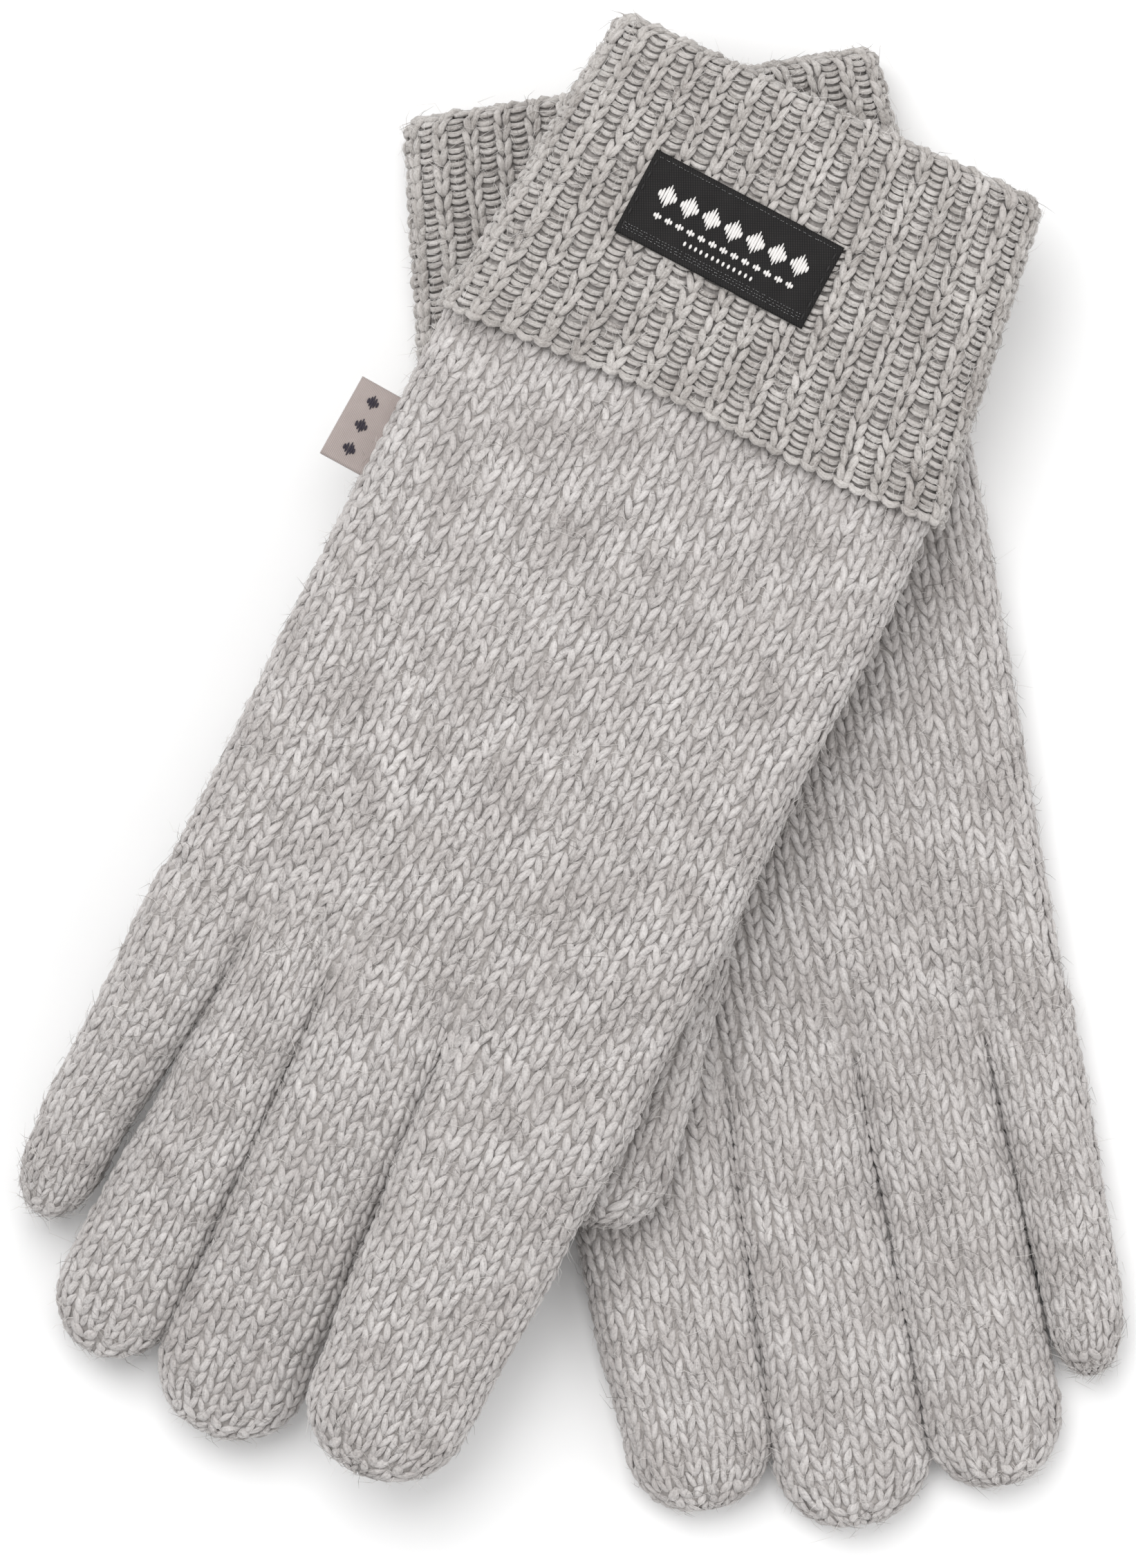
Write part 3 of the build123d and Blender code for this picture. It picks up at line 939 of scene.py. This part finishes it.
def place_fingers(glove):
    """The four fingers and the thumb of a glove."""
    for finger, row in FINGERS[glove.name].items():
        tip = row[2]
        last = tip - TIP_ROUND + TIP_ROUND * TIP_END
        hinge = glove.hinge(finger)
        blend = (hinge + [0, -9.0, 0], hinge + [0, 9.0, 0])
        place_tube(glove, finger, finger_surface(glove, finger), base_station(glove, finger), last, row[5],
                   tip - TIP_ROUND * 0.3, blend)
    swivel = glove.hinge("thumb")
    length = np.linalg.norm(glove.node_points("thumb_knit")[:, :2] - swivel[:2], axis=1).max()
    last = length + 0.5 - THUMB_ROUND + THUMB_ROUND * TIP_END
    blend = (swivel + [0, -4.0, 0], swivel + [0, 10.0, 0])
    place_tube(glove, "thumb", thumb_surface(glove), THUMB_START, last, THUMB_AROUND, length - 5.0, blend)


def rib_strands(surface, s_first, s_last, fine):
    """A 1 x 1 rib: raised columns of knitted Vs with sunk columns of purl bumps between them.

    In a fine rib a purl column shows two bows in each course, one of each loop that meets there,
    and in a hidden one it shows one.
    """
    rows = np.arange(int(round((s_last - s_first) / RIB_COURSE)))
    s_rows = s_first + (rows + 0.5) * RIB_COURSE
    u, s = [grid.ravel() for grid in np.meshgrid((np.arange(RIBS) + 0.5) / RIBS, s_rows)]
    per_mm = np.full(len(u), 1.0 / RIBS / RIB_PITCH)
    sides, rings = (6, 5) if fine else (4, 3)
    parts = [lay(surface, leg_template(side, sides, rings, **RIB), u, s, per_mm) for side in (-1, 1)]
    between = u + 0.5 / RIBS
    upper = bar_template(1.75, 4, rings, thick=0.68, height=-0.44, bow=0.5, rise=0.42)
    parts.append(lay(surface, upper, between, s, per_mm))
    if fine:
        lower = bar_template(1.7, 4, 4, thick=0.66, height=-0.48, bow=0.4, rise=0.42)
        parts.append(lay(surface, lower, between, s + RIB_COURSE / 2, per_mm))
    return joined(parts)


def hem_loops(surface, s_last):
    """The cast-on edge: a plump loop bulging out under every knit column and every purl column."""
    u = np.arange(2 * RIBS) / (2 * RIBS)
    per_mm = np.full(len(u), 1.0 / RIBS / RIB_PITCH)
    loop = bar_template(1.55, 6, 5, thick=0.76, height=-0.42, bow=0.95, rise=0.45)
    return lay(surface, loop, u, np.full(len(u), s_last - 0.5), per_mm)


def place_cuff(glove):
    """The turned-up cuff, the ribbed wrist under it, and the tape inside the wrist."""
    name, turnup, hand = f"{glove.name}_cuff", f"{glove.name}_turnup", f"{glove.name}_hand"
    surface, inside, hem = cuff_surface(glove), -(pi * FOLD + CUFF_INSIDE), CUFF - FOLD
    arrays = joined([rib_strands(surface, inside, hem, True), hem_loops(surface, hem)])
    # the ribs' wool is darker as painted shade
    new_piece(glove, f"{name}_turnup_stitches", arrays, SHADED_RIB_WOOL, f"{name}_turnup", turnup)
    stations = np.linspace(inside, hem - 0.4, 44)
    # a darker sheet under the ribs: painted shade in the gaps between them
    shell(glove, surface, f"{name}_turnup_ground", 0.9, 0.6, stations, 99, GAP_SHADE, None, turnup)
    bare = LABEL_CLEARING if glove.name == "right" else None
    fuzz(glove, surface, f"{name}_turnup_fibres", (-0.27, 0.27), (-3.0, hem), 2600, turnup,
         bare=bare)
    wrist = wrist_surface()
    arrays, end = rib_strands(wrist, WRIST_START, CUFF + 2.0, False), CUFF + 2.5
    # the ribs' wool is darker as painted shade
    new_piece(glove, f"{name}_wrist_stitches", arrays, SHADED_RIB_WOOL, f"{glove.name}_wrist_rib", hand)
    stations = np.linspace(WRIST_START, end, 24)
    # a darker sheet under the ribs: painted shade in the gaps between them
    shell(glove, wrist, f"{name}_wrist_ground", 1.2, 0.6, stations, 99, GAP_SHADE, None, hand)
    stations = np.linspace(end - TAPE_WIDTH, end, 12)
    shell(glove, wrist, f"{name}_binding_tape", 2.4, 0.7, stations, 99, TAPE,
          f"{glove.name}_lining_binding", hand)


# ---------------------------------------------------------------------------------------------
# Labels, on the right glove only


def label_surface(glove):
    """The woven label's face over the ribs: u is a share of its width and s is in mm along the glove.

    It follows the cuff's face at the height of the ribs, and dips a little between them.
    """
    ribs = cuff_surface(glove)

    def at(u, s):
        x = (u - 0.5) * LABEL[0]
        h = LABEL_PLACE[0] + x * cos(LABEL_TURN) - s * sin(LABEL_TURN)
        y = LABEL_PLACE[1] + x * sin(LABEL_TURN) + s * cos(LABEL_TURN)
        middle, wide, thick = cuff_sizes(glove, y)
        around = (h - middle) / ring_length(wide, thick)
        top = ribs(around, y - FOLD)[..., 2]
        dip = 0.14 * np.cos(2 * pi * (around * RIBS - 0.5))
        return np.stack([h, y, top + RIB_TOP + 0.55 + dip], axis=-1)

    return at


def floats(surface, width, columns, lows, highs, thick):
    """Straight floats of weft along a label, from lows to highs at the columns, in millimetres."""
    parts = []
    for x, low, high in zip(columns, lows, highs):
        t = np.linspace(-1, 1, 5)
        path = np.stack([0 * t, (high - low) / 2 * t, 0.12 * (1 - t * t) ** 0.5], axis=1)
        swell = np.maximum(1 - t**4, 0.35)
        template = strand(path, np.stack([thick * swell, 0.13 * swell], axis=1), 6)
        place = np.array([x / width + 0.5]), np.array([(low + high) / 2]), np.array([1.0 / width])
        parts.append(lay(surface, template, *place, jitter=0.03, tilt=0.02, lift=0.08))
    return joined(parts)


def lozenge(x, y, half_width, half_height, pitch):
    """The columns, lows and highs of the floats that fill a lozenge."""
    across = np.arange(-half_width, half_width + 0.01, pitch)
    tall = half_height * (1 - np.abs(across) / (half_width + pitch)) + 0.12
    return x + across, y - tall, y + tall


def motif(shapes):
    """Several groups of floats as one."""
    return [np.concatenate(group) for group in zip(*shapes)]


def place_woven_label(glove):
    """The black label: its cloth, a generic woven border of lozenges, metallic lines and end stitches."""
    surface, body, width = label_surface(glove), "right_turnup", LABEL[0]
    u, s = np.meshgrid(np.linspace(0, 1, 76), np.linspace(-LABEL[1] / 2, LABEL[1] / 2, 32))
    here, normal = normals_of(surface, u, s)
    arrays = cloth(here, normal, 0.35, False)
    label = new_piece(glove, "right_damask_label", arrays, DAMASK, "right_woven_label", body)
    # the figure's rows, in millimetres from the label's middle
    big = [lozenge(x, -1.6, 1.5, 2.1, 0.5) for x in np.linspace(-13.2, 13.2, 7)]
    small = [lozenge(x, 2.3, 0.5, 0.55, 0.5) for x in np.linspace(-13.2, 13.2, 13)]
    bars = [(np.array([x]), np.array([4.0]), np.array([4.9])) for x in np.arange(-6.6, 6.7, 1.1)]
    arrays = floats(surface, width, *motif(big + small + bars), 0.27)
    figure = new_piece(glove, "right_label_figure", arrays, WHITE_WEFT, None, body)
    # metallic thread that shows in short dashes, in one line near the fold and three near the hem
    dashes = [
        (x, np.full(len(x), y - 0.05), np.full(len(x), y + 0.05))
        for y in (-7.2, 5.9, 6.4, 6.9)
        for x in [np.arange(-17.6, 17.7, 0.62) + rng.normal(0, 0.12, 57)]
    ]
    arrays = floats(surface, width, *motif(dashes), 0.19)
    lines = new_piece(glove, "right_label_metallic_lines", arrays, METALLIC, None, body)
    lows = np.linspace(-6.6, 5.4, 6)
    ends = [(np.full(6, x), lows, np.linspace(-5.2, 6.8, 6)) for x in (-17.9, 17.9)]
    arrays = floats(surface, width, *motif(ends), 0.2)
    sewn = new_piece(glove, "right_label_end_stitches", arrays, SEWING,
                     "right_label_stitches", body)


def flag_surface(glove):
    """The folded label's face, and the length of its section.

    The share u runs from its lower sewn edge, round the fold, to its upper one. Its section is two
    straight leaves joined by half a circle. It waves by one sine, and it spreads and slants evenly.
    """
    low, _ = hand_edges(glove, FLAG_STATION)
    root, fold = low + 1.0, FLAG_FOLD
    leaf = FLAG[0] + 0.4 - fold
    length = 2 * leaf + pi * fold

    def at(u, s):
        run = np.clip(u, 0, 1) * length
        angle = np.clip((run - leaf) / fold, 0, pi)
        out = np.minimum(run, leaf) + fold * np.sin(angle) - np.maximum(run - leaf - pi * fold, 0)
        z = -fold * np.cos(angle) + 0.5 * np.sin(s * 0.23 + 0.6) * (out / leaf) ** 2
        h, y = root - out * (1 + FLAG_SPREAD * s), FLAG_STATION + s - FLAG_SLANT * out
        return np.stack([h, y, z + 0.35], axis=-1)

    return at, length


def place_flag(glove):
    """The satin flag label in the side seam: a ribbon folded in two, with a generic woven figure."""
    surface, length = flag_surface(glove)
    u, s = np.meshgrid(np.linspace(0.001, 0.999, 50), np.linspace(-FLAG[1] / 2, FLAG[1] / 2, 26))
    here, normal = normals_of(surface, u, s)
    ribbon = new_piece(glove, "right_satin_flag", cloth(here, normal, 0.22, False), SATIN,
                       "right_flag_label", "right_flag")
    shapes = [lozenge(0.0, y, 0.9, 1.2, 0.45) for y in (-4.6, 0.0, 4.6)]
    columns, lows, highs = motif(shapes)
    arrays = floats(surface, length, columns + length * 0.24, lows, highs, 0.24)
    figure = new_piece(glove, "right_flag_figure", arrays, DARK_WEFT, None, "right_flag")


camera_and_light()
floor()
for glove in (Glove("left", 1), Glove("right", -1)):
    place_cuff(glove)
    place_hand(glove)
    place_fingers(glove)
place_woven_label(glove)
place_flag(glove)
